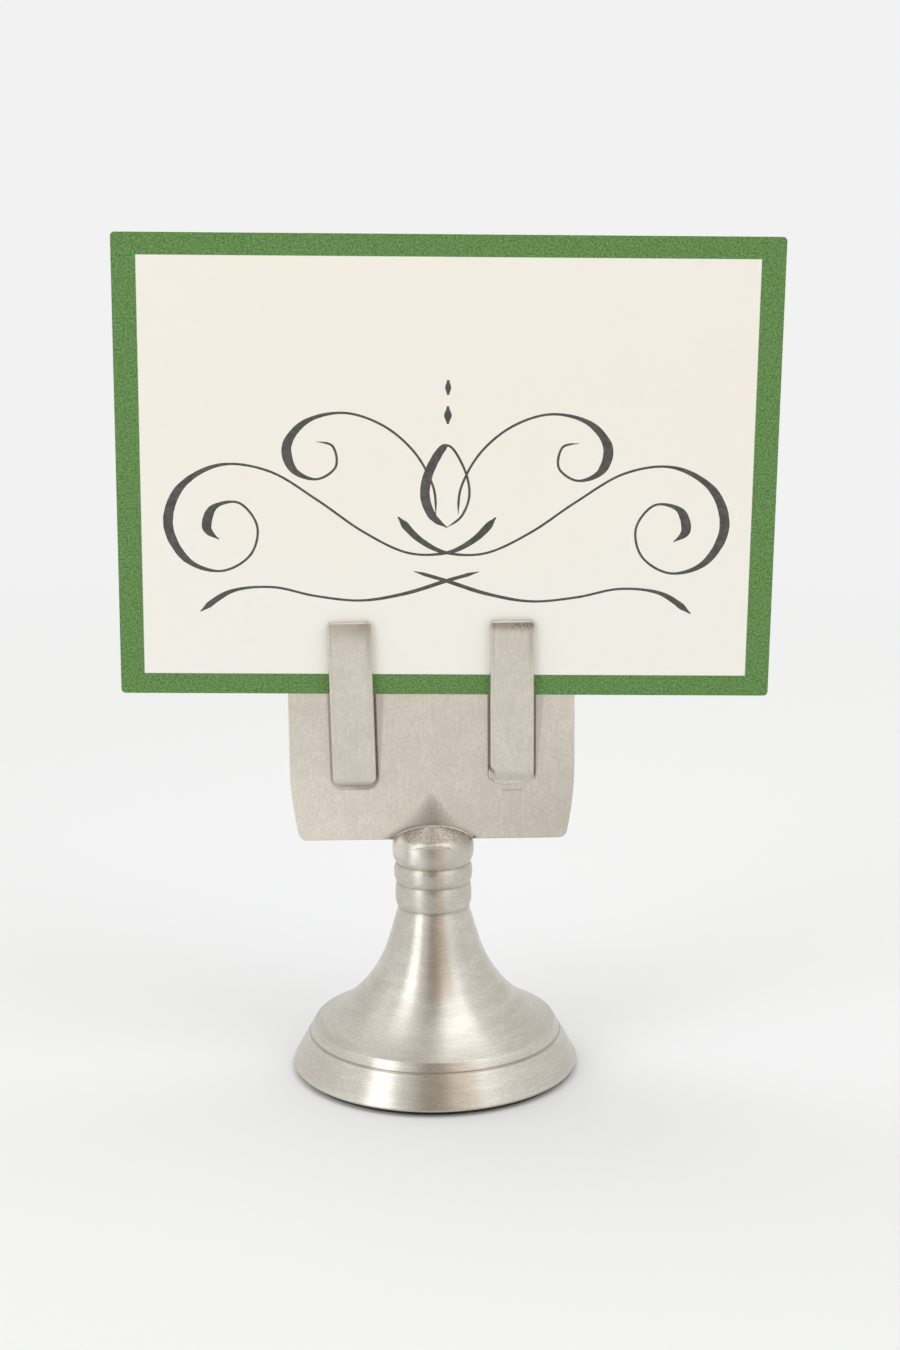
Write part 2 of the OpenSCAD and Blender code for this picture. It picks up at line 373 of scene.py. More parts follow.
turnedLook = {
    "bright": (0.730, 0.697, 0.640), "dull": (0.578, 0.545, 0.487),
    "stain": (0.400, 0.345, 0.280), "paintedHighlight": (0.960, 0.925, 0.870),
    "layers": {
        "marks": ("round", (5.0, 5.0, 3.6), 1.0, 3.0, 0.6),
        "fine": ("round", (13.0, 13.0, 8.64), 1.0, 2.0, 0.6),
        "wide": ("round", (1.6, 1.6, 0.5), 1.0, 3.0, 0.5),
        "grain": ("straight", (1.0, 1.0, 1.6), 2.6, 3.0, 0.7),
    },
    "tone": {"marks": 0.26, "fine": 0.20, "wide": 0.27, "grain": 0.42}, "toneRange": (0.50, 0.72),
    "rough": {"marks": 0.10, "grain": 0.05}, "roughness": 0.265,
    "relief": {"marks": 0.36, "fine": 0.30, "grain": 0.42}, "cut": 0.019,
    "sockets": {"Metallic": 1.0, "Anisotropic": 0.85, "Anisotropic Rotation": 0.25},
}

sheetLook = {
    "bright": (0.775, 0.732, 0.655), "dull": (0.660, 0.617, 0.540),
    "stain": (0.125, 0.098, 0.066),
    "layers": {
        "marks": ("straight", (3.0, 3.0, 0.35), 1.0, 3.0, 0.65),
        "mottle": ("straight", (1.0, 1.0, 1.0), 0.30, 3.0, 0.6),
        "grain": ("straight", (1.0, 1.0, 0.8), 3.4, 2.0, 0.7),
    },
    "tone": {"marks": 0.26, "mottle": 0.30, "grain": 0.60}, "toneRange": (0.47, 0.75),
    "rough": {"marks": 0.08, "mottle": 0.04}, "roughness": 0.39,
    "relief": {"marks": 0.35, "grain": 0.65}, "cut": 0.012,
    "sockets": {"Metallic": 1.0, "Anisotropic": 0.35},
}

fleckedLook = {
    "tone": {"flecks": 1.0}, "toneRange": (0.3, 0.7), "rough": {"flecks": 0.2},
    "relief": {"flecks": 1.0}, "sockets": {"Metallic": 1.0},
}


def addPiece(name, mesh, body, replaced=()):
    piece = putObject(name, mesh)
    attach(piece, body)
    if replaced:
        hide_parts(*replaced)


def cleanMesh(mesh):
    # Merges doubles and turns the faces outwards.
    work = bmesh.new()
    work.from_mesh(mesh)
    bmesh.ops.remove_doubles(work, verts=work.verts, dist=weld)
    bmesh.ops.recalc_face_normals(work, faces=work.faces)
    for face in work.faces:
        face.smooth = True
    work.to_mesh(mesh)
    work.free()
    return mesh


def geometryTree(name, inputs):
    # Each input is its name, kind and value.
    tree = bpy.data.node_groups.new(name, "GeometryNodeTree")
    tree.interface.new_socket("Geometry", in_out="INPUT", socket_type="NodeSocketGeometry")
    for label, kind, value in inputs:
        made = tree.interface.new_socket(label, in_out="INPUT", socket_type=kind)
        if value is not None:
            made.default_value = value
    tree.interface.new_socket("Geometry", in_out="OUTPUT", socket_type="NodeSocketGeometry")
    board = Board(tree)
    return tree, board, board.node("NodeGroupInput")


def closeTree(board, start, geometry):
    real = board.node("GeometryNodeRealizeInstances", {}, {0: geometry})
    done = board.node("GeometryNodeSetMaterial", {}, {"Geometry": real,
                                                      "Material": start.other("Finish")})
    board.node("NodeGroupOutput", {}, {"Geometry": done})


def bakeModifiers(piece):
    bpy.context.view_layer.update()
    solved = piece.evaluated_get(bpy.context.evaluated_depsgraph_get())
    mesh = bpy.data.meshes.new_from_object(solved)
    piece.modifiers.clear()
    bpy.data.objects.remove(piece)
    return mesh


def runTree(name, mesh, tree, values):
    # Sets the named inputs, and returns what the tree makes of the mesh.
    source = putObject(name, mesh)
    modifier = source.modifiers.new(tree.name, "NODES")
    modifier.node_group = tree
    for item in tree.interface.items_tree:
        if item.item_type == "SOCKET" and item.in_out == "INPUT" and item.name in values:
            modifier[item.identifier] = values[item.name]
    made = bakeModifiers(source)
    made.name = name
    return cleanMesh(made)


def arc(centre, radius, start, end, steps):
    # Points from start to end degrees, both included.
    points = []
    for step in range(steps + 1):
        turn = radians(start + (end - start) * step / steps)
        points.append((centre[0] + radius * cos(turn), centre[1] + radius * sin(turn)))
    return points


def roundCorners(corners, steps=6):
    # Each corner is (x, y) or (x, y, radius); closed outline.
    points = []
    count = len(corners)
    for index, corner in enumerate(corners):
        here = Vector(corner[:2])
        radius = corner[2] if len(corner) > 2 else 0.0
        before = Vector(corners[index - 1][:2]) - here
        after = Vector(corners[(index + 1) % count][:2]) - here
        if radius <= 0.0:
            points.append(tuple(here))
            continue
        opening = before.angle(after)
        reach = radius / tan(opening / 2.0)
        first = here + before.normalized() * reach
        last = here + after.normalized() * reach
        halfway = (before.normalized() + after.normalized()).normalized()
        middle = here + halfway * (radius / sin(opening / 2.0))
        startTurn = first - middle
        sweep = startTurn.angle_signed(last - middle)
        for step in range(steps + 1):
            spoke = startTurn.copy()
            spoke.rotate(Matrix.Rotation(-sweep * step / steps, 2))
            points.append(tuple(middle + spoke))
    return points


def uprightOutline(width, height, lowRound, topRound):
    half = width / 2.0
    return roundCorners([(-half, 0.0, lowRound), (half, 0.0, lowRound), (half, height, topRound),
                         (-half, height, topRound)], 8)


def fillLine(points, longest):
    # Adds points to a closed outline so that no stretch is longer than longest.
    filled = []
    for start, end in zip(points, points[1:] + points[:1]):
        start, end = Vector(start), Vector(end)
        parts = max(1, ceil((end - start).length / longest))
        filled += [tuple(start.lerp(end, part / parts)) for part in range(parts)]
    return filled


def turningTree():
    # Sweeps a half section in the XZ plane once round the Z axis.
    tree, board, start = geometryTree("turning", [
        ("Steps Round", "NodeSocketInt", 128), ("Finish", "NodeSocketMaterial", None)])
    count = board.node("GeometryNodeAttributeDomainSize", {"component": "MESH"},
                       {"Geometry": start.other("Geometry")}, out="Point Count")
    steps = start.other("Steps Round")
    grid = board.node("GeometryNodeMeshGrid", {}, {"Vertices X": steps + 1, "Vertices Y": count})
    index = board.node("GeometryNodeInputIndex")
    column = (index / count + 0.0001).maths("FLOOR")
    row = index - column * count
    section = board.node("GeometryNodeSampleIndex", {"data_type": "FLOAT_VECTOR"},
                         {"Geometry": start.other("Geometry"),
                          "Value": board.node("GeometryNodeInputPosition"), "Index": row})
    radius, height = section.split()[::2]
    turn = column / steps * tau
    place = combine(board, radius * turn.maths("COSINE"), radius * turn.maths("SINE"), height)
    swept = board.node("GeometryNodeSetPosition", {}, {"Geometry": grid, "Position": place})
    closed = board.node("GeometryNodeMergeByDistance", {}, {"Geometry": swept,
                                                            "Distance": seam})
    closeTree(board, start, closed)
    return tree


def turnPiece(name, section, steps, finish):
    # The section is a closed outline of (radius, height) in mm.
    mesh = bpy.data.meshes.new(name)
    loop = section + section[:1]
    mesh.from_pydata([(radius * mm, 0.0, z * mm) for radius, z in loop], [], [])
    return runTree(name, mesh, turning, {"Steps Round": steps, "Finish": finish})


turning = turningTree()


footLook = {
    "rimRadius": 20.1, "rimRound": 0.3, "rimBlend": 0.2, "rimStep": 0.05,
    "wallHeight": 4.65, "grooveRadius": 17.75, "grooveCut": 0.15, "grooveRound": 0.04,
    "riserHeight": 1.3, "shoulderRadius": 17.0, "shoulderRound": 0.12,
    "flareRadius": 19.5, "flareSteps": 90, "coneAngle": 16.2, "topRadius": 4.9, "topRound": 0.06,
    "boreRadius": 2.15, "counterboreRadius": 4.7, "counterboreDepth": 4.0,
    "spigotRadius": 3.54, "spigotDepth": 1.24,
    "longest": 0.45, "steps": 192, "sharp": 50.0,
    "dirt": [(5.38, 0.16, 0.75), (23.7, 0.25, 0.4)],
}
footLow, footHigh = nodeBox("foot")


def turnOf(way):
    return degrees(atan2(way.y, way.x)) % 360.0


def footSection(look):
    baseZ, topZ = footLow.z, footHigh.z
    grooveZ = baseZ + look["wallHeight"]
    spigotZ = topZ - look["spigotDepth"]
    counterboreZ = baseZ + look["counterboreDepth"]
    angle = radians(look["coneAngle"])
    down = Vector((sin(angle), -cos(angle)))
    side = Vector((cos(angle), sin(angle)))
    top = Vector((look["topRadius"], topZ))
    shoulder = Vector((look["shoulderRadius"], grooveZ + look["riserHeight"]))
    span = top + look["flareRadius"] * side - shoulder
    along = span.dot(down)
    across = sqrt(span.dot(span) - along * along)
    start = top + (-along - sqrt(look["flareRadius"] ** 2 - across ** 2)) * down
    centre = start + look["flareRadius"] * side
    flare = arc(centre, look["flareRadius"], turnOf(shoulder - centre), turnOf(start - centre),
                look["flareSteps"])
    groove = Vector((look["grooveRadius"], grooveZ))
    rim = Vector((look["rimRadius"], baseZ + look["rimRound"]))
    notch = arc(groove, look["grooveCut"], turnOf(rim - groove), turnOf(shoulder - groove), 8)
    outer = [(look["counterboreRadius"], baseZ),
             (rim.x - look["rimStep"], baseZ, look["rimRound"]),
             (rim.x, rim.y + look["rimStep"], look["rimBlend"]),
             (*notch[0], look["grooveRound"]), *notch[1:-1], (*notch[-1], look["grooveRound"]),
             (*shoulder, look["shoulderRound"]), *flare[1:], (*top, look["topRound"])]
    inner = [(look["spigotRadius"], topZ), (look["spigotRadius"], spigotZ),
             (look["boreRadius"], spigotZ), (look["boreRadius"], counterboreZ),
             (look["counterboreRadius"], counterboreZ)]
    return fillLine(roundCorners(outer + inner, 5), look["longest"])


footMetal = layeredFinish("turnedFootMetal", {**turnedLook, "dirt": footLook["dirt"]})
footMesh = turnPiece("turnedFoot", footSection(footLook), footLook["steps"], footMetal)
footMesh.set_sharp_from_angle(angle=radians(footLook["sharp"]))
addPiece("turnedFoot", footMesh, "holder", ["foot"])
print("foot turned:", len(footMesh.polygons), "faces")


neckLook = {
    "grooveRadius": 5.1,
    "beads": [(3.5, 0.24), (2.8, 0.38)],   # height and bulge, from the foot up
    "beadPower": 3.0,        # 2 makes a bead round, more makes it flatter in the middle
    "topBulge": 0.6, "topFoot": 2.1, "domeRadius": 10.2,
    "sideRound": 2.0,        # rounding of the top bead at its sides and back
    "frontRound": 0.25,      # and in front, where the dome was filed to an edge
    "frontLean": 0.35,       # by which the bead leans back below that edge
    "filedTurn": 43.0,       # degrees from the front at which the edge has run out
    "filedPower": 1.3,
    "spigotRadius": 3.5, "spigotHeight": 1.2, "boreRadius": 2.04, "boreDepth": 6.0,
    "slot": (20.0, 1.5, 6.0),    # length, width and height of what is cut out for the plate
    "longest": 0.3, "steps": 192, "sharp": 40.0,
    "metal": {
        "bright": (0.775, 0.735, 0.670), "dull": (0.615, 0.577, 0.512),
        "stain": (0.400, 0.330, 0.240), "roughness": 0.355,
        "sockets": {"Metallic": 1.0, "Anisotropic": 0.92, "Anisotropic Rotation": 0.25},
        "dirt": [(27.3, 0.16, 0.45), (30.1, 0.16, 0.45), (23.85, 0.14, 0.45)],
    },
    "clouds": {
        # marks per mm, detail and roughness
        "mottle": (3.0, 4.0, 0.8), "pits": (2.6, 5.0, 0.85), "scratches": (1.0, 2.0, 0.6),
    },
    "slant": (0.8, 0.5), "slantScales": (5.0, 0.9, 2.0),    # of the scratches
    "flecks": {"pits": (0.40, 0.62, 0.0, 0.62), "scratches": (0.46, 0.58, 0.0, 0.24)},
    "places": {
        "filed": [[("z", 32.7, 33.1), ("y", -0.4, -0.9), (("x", 0.1), 5.0, 3.2)]],
        "filedEdge": [[("filed",), ("radius", 5.4, 4.95)]],
        "facing": [[("y", -1.0, -3.0)]],
        "front": [[("facing",), (("x", -0.1), 2.6, 0.5)]],
        "spots": [[(("z", 29.6), -0.20, 0.50, 0.75, 0.0)],
                  [(("z", 26.95), -0.18, 0.42, 0.75, 0.0)]],
    },
    "tarnishAndShade": [
        # flecks on the filed front, then a painted dark reflection in brown on the front of the
        # lower beads and below the edge of the top one, and a spot on either bead
        [("filedEdge",), ("flecks",), ("x", 1.5, 4.0, 1.0, 0.6)],
        [("front",), ("mottle", 0.42, 0.66), ("z", 31.2, 31.6, 0.13, 0.0)],
        [("facing",), ("z", 31.0, 32.6), ("radius", 5.2, 5.4), (("x", 0.4), 3.6, 1.2),
         ("mottle", 0.3, 0.6, 0.04, 0.24)],
        [("front",), ("spots",), (("x", -0.7), 1.6, 0.6), ("mottle", 0.3, 0.55)],
    ],
    "paintedHighlight": [
        # painted highlights on the left of the top bead, along its edge, in a streak down it and
        # between the flecks of the filed edge
        [("x", -3.3, -4.9), ("z", 30.9, 32.2), ("mottle", 0.3, 0.6, 1.0, 0.6)],
        [("radius", 4.3, 5.2, 0.0, 0.45), ("z", 33.3, 33.5), (("x", 0.5), 3.2, 1.4),
         ("y", -0.5, -1.5), ("scratches", 0.35, 0.55, 0.6, 1.0)],
        [("facing",), (("x", -2.95), -0.20, 0.90, 0.85, 0.0), ("z", 30.5, 31.3),
         ("radius", 5.1, 5.35)],
        [("filedEdge",), ("pits", 0.38, 0.62, 0.44, 0.05), ("x", 0.5, 3.5, 1.0, 2.0)],
    ],
    "coarse": [[("filed",), ("radius", 4.6, 5.35, 0.42, 0.0)]],
}
neckLow, neckHigh = nodeBox("neck")
plateLow = nodeBox("back_plate")[0]
beadFoot = footHigh.z
topBeadZ = beadFoot + sum(bead[0] for bead in neckLook["beads"])
domeCentre = neckHigh.z - neckLook["domeRadius"]
topBeadRadius = neckLook["grooveRadius"] + neckLook["topBulge"]


def beadLine(level, height, bulge, look, steps=16, whole=True):
    # Barrel from groove to groove, or its lower half only.
    line = []
    for step in range(steps + 1):
        share = 2.0 * step / steps - 1.0 if whole else step / steps - 1.0
        radius = look["grooveRadius"] + bulge * (1.0 - abs(share) ** look["beadPower"])
        line.append((radius, level + height * (share + 1.0) * (0.5 if whole else 1.0)))
    return line


def domeCorner(look, rounding, lean=0.0):
    # Height of the rounding's centre, its sweep in radians and where the dome begins.
    reach = look["domeRadius"] - rounding
    inner = topBeadRadius - lean - rounding
    level = domeCentre + sqrt(reach ** 2 - inner ** 2)
    sweep = acos(inner / reach)
    return level, sweep, look["domeRadius"] * inner / reach


def neckSection(look):
    boreTop = neckLow.z + look["spigotHeight"] + look["boreDepth"]
    line = [(look["boreRadius"], neckLow.z), (look["spigotRadius"], neckLow.z),
            (look["spigotRadius"], beadFoot)]
    level = beadFoot
    for height, bulge in look["beads"]:
        line += beadLine(level, height, bulge, look)[0 if level == beadFoot else 1:]
        level += height
    line += beadLine(level, look["topFoot"], look["topBulge"], look, 12, False)[1:]
    corner, sweep = domeCorner(look, look["sideRound"])[:2]
    line += arc((topBeadRadius - look["sideRound"], corner), look["sideRound"], 0.0,
                degrees(sweep), 16)
    line += arc((0.0, domeCentre), look["domeRadius"], degrees(sweep), 90.0, 20)[1:-1]
    line += [(0.0, neckHigh.z), (0.0, boreTop), (look["boreRadius"], boreTop)]
    return fillLine(roundCorners(line), look["longest"])


def filedShare(look, turn):
    # One straight in front, and nought where the filed edge has run out.
    return max(0.0, 1.0 - (turn / look["filedTurn"]) ** 2) ** look["filedPower"]


def fileDome(mesh, look):
    # In front the dome is filed to an edge that drops and softens towards the sides.
    sideCorner, sideSweep, sideStart = domeCorner(look, look["sideRound"])
    corner, sweep, start = domeCorner(look, look["frontRound"], look["frontLean"])
    wallFoot = topBeadZ + look["topFoot"]
    for vert in mesh.vertices:
        x, y, z = vert.co / mm
        radius = hypot(x, y)
        share = filedShare(look, degrees(atan2(x, -y)))
        if z < wallFoot or radius < 0.01 or share == 0.0:
            continue
        if z <= sideCorner:
            part = (z - wallFoot) / (sideCorner - wallFoot)
            filed = (radius - look["frontLean"] * part, wallFoot + part * (corner - wallFoot))
        elif radius > sideStart:
            inner = topBeadRadius - look["sideRound"]
            angle = atan2(z - sideCorner, radius - inner) * sweep / sideSweep
            rounding = look["frontRound"]
            reach = topBeadRadius - look["frontLean"] - rounding
            filed = (reach + rounding * cos(angle), corner + rounding * sin(angle))
        else:
            reach = radius * start / sideStart
            filed = (reach, domeCentre + sqrt(look["domeRadius"] ** 2 - reach ** 2))
        newRadius, newZ = Vector((radius, z)).lerp(Vector(filed), share)
        vert.co = Vector((x * newRadius / radius, y * newRadius / radius, newZ)) * mm


def neckWearAndPaintedLight(values):
    look = neckLook
    x, y, z = (values[name] for name in "xyz")
    lean, turn = look["slant"]
    slant = [value * scale for value, scale in zip((x + y * lean, y - x * turn, z),
                                                   look["slantScales"])]
    for name, place in (("mottle", (x, y, z)), ("pits", (x, y, z)), ("scratches", slant)):
        values[name] = cloud(x.board, place, *look["clouds"][name])
    pits, scratches = (values[name].rise(*limits) for name, limits in look["flecks"].items())
    values["flecks"] = pits + scratches
    addPlaces(values, look["places"])
    return {kind: markShare(values, look[kind]) for kind in ("tarnishAndShade", "paintedHighlight", "coarse")}


def cutSlot(mesh, size, level):
    # The plate stands in a slot across the dome.
    neck = putObject("neckBlank", mesh)
    box = bpy.data.meshes.new("slotCutter")
    work = bmesh.new()
    bmesh.ops.create_cube(work, size=1.0)
    bmesh.ops.scale(work, vec=Vector(size) * mm, verts=work.verts)
    middle = Vector((0.0, 0.0, level + size[2] / 2.0)) * mm
    bmesh.ops.translate(work, vec=middle, verts=work.verts)
    work.to_mesh(box)
    work.free()
    cutter = putObject("slotCutter", box)
    cut = neck.modifiers.new("slot", "BOOLEAN")
    cut.operation = "DIFFERENCE"
    cut.solver = "EXACT"
    cut.object = cutter
    result = bakeModifiers(neck)
    bpy.data.objects.remove(cutter)
    return result


neckMetal = layeredFinish("turnedNeckMetal", {**turnedLook, **neckLook["metal"]}, neckWearAndPaintedLight)
neckMesh = turnPiece("beadedNeck", neckSection(neckLook), neckLook["steps"], neckMetal)
fileDome(neckMesh, neckLook)
neckMesh = cutSlot(neckMesh, neckLook["slot"], plateLow.z)
neckMesh.set_sharp_from_angle(angle=radians(neckLook["sharp"]))
addPiece("beadedNeck", neckMesh, "holder", ["neck"])
print("neck turned:", len(neckMesh.polygons), "faces")


fingerLook = {
    "width": 6.0, "thickness": 1.0, "length": 23.4, "pitch": 21.8, "shift": 0.15,
    "baseZ": 41.3, "rootLength": 1.5, "lean": 1.793, "cornerRadius": 1.4, "topCorner": 0.45,
    "edge": 0.27, "fold": (1.0, 0.45),   # height and depth of the rounding at the left foot
    "plateFront": -0.75,
    "rampFoot": 0.25,        # share of the thickness where the ramp starts
    # heights at which a finger is cut so that it can bend, and the number of cuts in its tip
    "cuts": (0.25, 0.5, 0.75, 0.9, 1.5, 2.1, 2.6, 3.2, 6.0, 12.0, 17.0), "tipCuts": 8,
    "sides": [
        # name, node, side, outward lean, length and depth of the bend at the tip, ramp at the foot
        ("leftFinger", "left_finger", -1.0, 1.05, 3.0, 0.34, 0.0),
        ("rightFinger", "right_finger", 1.0, 0.1, 1.35, 0.30, 2.4),
    ],
    "metal": {"bright": (0.770, 0.730, 0.655), "grainSeed": 40.0},
    "hook": (0.94, 0.66),    # slope of the hook at the right finger's foot, and where it starts
    "ragged": 1.6,           # mm by which the brown of the tips runs up and down
    "places": {
        "left": [[("x", 1.0, -1.0)]], "right": [[("x", -1.0, 1.0)]],
        "patchy": [[("grain", 0.35, 0.6, 0.45, 1.0)]],
        "tip": [[("patchy",), ("up", 23.35, 23.15)]],
    },
    "tarnishAndShade": [
        # brown where the right tip bends back and a little on the left tip, and painted shade on
        # the left foot where it rounds back
        [("tip",), ("right",), ("ragged", 21.5, 23.1), ("x", 8.5, 13.5, 0.48, 0.72)],
        [("tip",), ("left",), ("ragged", 20.0, 23.0), ("x", -13.5, -8.6, 0.12, 0.42)],
        [("patchy",), ("left",), ("up", 0.1, 1.3, 0.40, 0.0)],
        # the gap at the left of the right finger ends in a small hook
        [("right",), ("hook", 0.10, 0.55, 0.62, 0.0), ("rightFinger", -2.1, -2.7)],
    ],
    # painted shade along each finger's right and left edge, growing towards the tip
    "edges": [[(1.8, 2.7, 0.0, 0.30), (2.9, 2.7)],
              [(-2.65, -2.2, 0.18, 0.0), (-2.85, -2.65)]],
    "edgeShadeRise": ("up", 14.7, 21.7, 0.12, 1.0),
}


def slabMesh(name, outline, thickness, edge, segments=4):
    # A flat outline in the XZ plane from y = 0 back to y = -thickness, with eased edges.
    mesh = bpy.data.meshes.new(name)
    count = len(outline)
    points = [(x * mm, 0.0, z * mm) for x, z in outline]
    points += [(x * mm, -thickness * mm, z * mm) for x, z in outline]
    faces = [tuple(range(count)), tuple(range(2 * count - 1, count - 1, -1))]
    faces += [(i, (i + 1) % count, count + (i + 1) % count, count + i) for i in range(count)]
    mesh.from_pydata(points, [], faces)
    cleanMesh(mesh)
    slab = putObject(name, mesh)
    ease = slab.modifiers.new("ease", "BEVEL")
    ease.width = edge * mm
    ease.segments = segments
    ease.limit_method = "ANGLE"
    ease.angle_limit = radians(50)
    ease.use_clamp_overlap = True
    return bakeModifiers(slab)


def addSlab(name, mesh, finish, body, node):
    # Flat faces stay flat beside their eased edges.
    mesh.materials.append(finish)
    slab = putObject("evened", mesh)
    even = slab.modifiers.new("even", "WEIGHTED_NORMAL")
    even.weight = 60
    even.keep_sharp = True
    addPiece(name, bakeModifiers(slab), body, [node])


def fingerMesh(name, look, side, outward, tipLength, tipDrop, ramp):
    outline = uprightOutline(look["width"], look["length"], look["cornerRadius"],
                             look["topCorner"])
    mesh = slabMesh(name, outline, look["thickness"], look["edge"])
    foldHeight, foldDepth = look["fold"]
    work = bmesh.new()
    work.from_mesh(mesh)
    tipCuts = [look["length"] - tipLength * part / look["tipCuts"]
               for part in range(look["tipCuts"], 0, -1)]
    for level in (*look["cuts"], *tipCuts):
        everything = work.verts[:] + work.edges[:] + work.faces[:]
        bmesh.ops.bisect_plane(work, geom=everything, plane_co=(0.0, 0.0, level * mm),
                               plane_no=(0.0, 0.0, 1.0), dist=0.0001 * mm)
    lean = tan(radians(look["lean"]))
    for vert in work.verts:
        level = vert.co.z / mm
        front = min(1.0, max(0.0, -vert.co.y / mm / look["thickness"]))
        nearTip = max(0.0, (level - (look["length"] - tipLength)) / tipLength)
        vert.co.y += front * tipDrop * nearTip ** 2 * mm
        if level < foldHeight and not ramp:
            share = 1.0 - level / foldHeight
            vert.co.y += front * foldDepth * share ** 2 * mm
        if ramp and level < ramp:
            share = level / ramp
            share = share * share * (3.0 - 2.0 * share)
            vert.co.y *= look["rampFoot"] + (1.0 - look["rampFoot"]) * share
        vert.co.y -= max(0.0, level - look["rootLength"]) * lean * mm
    turned = Matrix.Rotation(radians(side * outward), 4, "Y")
    place = Vector((side * look["pitch"] / 2.0 + look["shift"], look["plateFront"], look["baseZ"]))
    bmesh.ops.transform(work, matrix=Matrix.Translation(place * mm) @ turned, verts=work.verts)
    work.to_mesh(mesh)
    work.free()
    return cleanMesh(mesh)


def acrossFinger(x, z, side, outward):
    # Distance from the middle of a finger that leans outward from its foot.
    middle = side * fingerLook["pitch"] / 2.0 + fingerLook["shift"]
    return x - middle - (z - fingerLook["baseZ"]) * (side * tan(radians(outward)))


def fingerWearAndShade(values):
    look = fingerLook
    values["up"] = values["z"] - look["baseZ"]
    values["ragged"] = values["up"] + values["grain"] * look["ragged"] - look["ragged"] / 2.0
    addPlaces(values, look["places"])
    marks = look["tarnishAndShade"][:]
    for name, *rest in look["sides"]:
        values[name] = acrossFinger(values["x"], values["z"], *rest[1:3])
        # painted shade along each finger's edges
        for edge in look["edges"]:
            marks.append([(name, *limits) for limits in edge] + [look["edgeShadeRise"]])
    slope, start = look["hook"]
    values["hook"] = abs(values["rightFinger"] + values["up"] * slope + start)
    return {"tarnishAndShade": markShare(values, marks)}


fingerMetal = layeredFinish("fingerMetal", {**sheetLook, **fingerLook["metal"]}, fingerWearAndShade)
for fingerName, node, *bends in fingerLook["sides"]:
    strip = fingerMesh(fingerName, fingerLook, *bends)
    addSlab(fingerName, strip, fingerMetal, "holder", node)
print("fingers bent")


plateLook = {
    "width": 39.5, "height": 31.3, "thickness": 1.5,
    "cornerRadius": 1.2, "topRadius": 1.5, "sideRadius": 50.0, "sideZ": 11.0,
    "edge": 0.16,
    "metal": {"bright": (0.872, 0.823, 0.742), "dull": (0.745, 0.696, 0.614)},
    "flame": (33.2, 42.2, 6.4),    # painted reflection of the dome above it: foot, tip and half width
    "flamePower": 1.9, "flameTip": 0.5,
    "flameRagged": (1.6, -0.7), "domeRagged": (0.5, -0.3),    # times the grain, and shift in mm
    "burns": (5.75, 33.65),        # painted shade in the corners where the dome ends, either side
    "footZ": 41.05,                # where the plate shows below a finger's foot
    "scratchZ": 40.5, "scratchRagged": 0.2,
    "places": {"front": [[("y", -0.4, -0.6)]]},
    "tarnishAndShade": [
        # painted reflection of the dome above it, a soft line of painted shade over the dome and
        # painted shade in the corners at its ends
        [("flame", 0.0, 1.5, 0.60, 0.0), ("flameLeft", 0.0, 0.55)],
        [("overDome", 1.2, 0.0), ("x", 0.0, 3.0, 0.62, 0.40)],
        [("burn", 0.10, 0.50, 0.85, 0.0)],
        # a scratch below the right finger
        [("front",), ("scratch", 0.06, 0.22, 0.42, 0.0), ("rightFinger", -1.8, -1.2),
         ("rightFinger", 2.2, 1.2)],
    ],
    "gapMarks": [
        # painted shade round a finger's foot: the dark line in the gap, a band of painted shadow
        # and a soft painted shade
        [("gap", 0.52, 0.24)],
        [("band", 1.2, 0.75), ("across", -1.0, 1.0, 0.12, 0.34)],
        [("gap", 1.1, 0.1), ("across", -1.0, 1.0, 0.20, 0.34)],
    ],
    "bandWidth": (0.085, 0.45),    # growth per mm upwards, and width at the foot
    "gaps": [
        # side, outward lean, and painted shade left of the finger, right of it and under its foot
        (-1.0, 1.05, 0.58, 0.95, 0.62),
        (1.0, 0.1, 0.85, 0.88, 0.08),
    ],
    "grainRange": (0.2, 0.6, 0.8, 1.0),
    "shade": (0.007, 0.13),        # growth per mm to the right, and shade in the middle
    "shadeFade": (52.0, 36.0),
}


def plateOutline(look):
    # Right half from the middle of the lower edge up, then its mirror image.
    sideX = look["width"] / 2.0 - look["sideRadius"]
    reach = look["sideRadius"] - look["cornerRadius"]
    drop = look["sideZ"] - look["cornerRadius"]
    cornerX = sideX + sqrt(reach ** 2 - drop ** 2)
    turn = degrees(atan2(-drop, cornerX - sideX))
    topX = look["width"] / 2.0 - look["topRadius"]
    right = arc((cornerX, look["cornerRadius"]), look["cornerRadius"], -90.0, turn, 14)
    right += arc((sideX, look["sideZ"]), look["sideRadius"], turn, 0.0, 16)[1:]
    right += arc((topX, look["height"] - look["topRadius"]), look["topRadius"], 0.0, 90.0, 10)
    return right + [(-x, z) for x, z in reversed(right)]


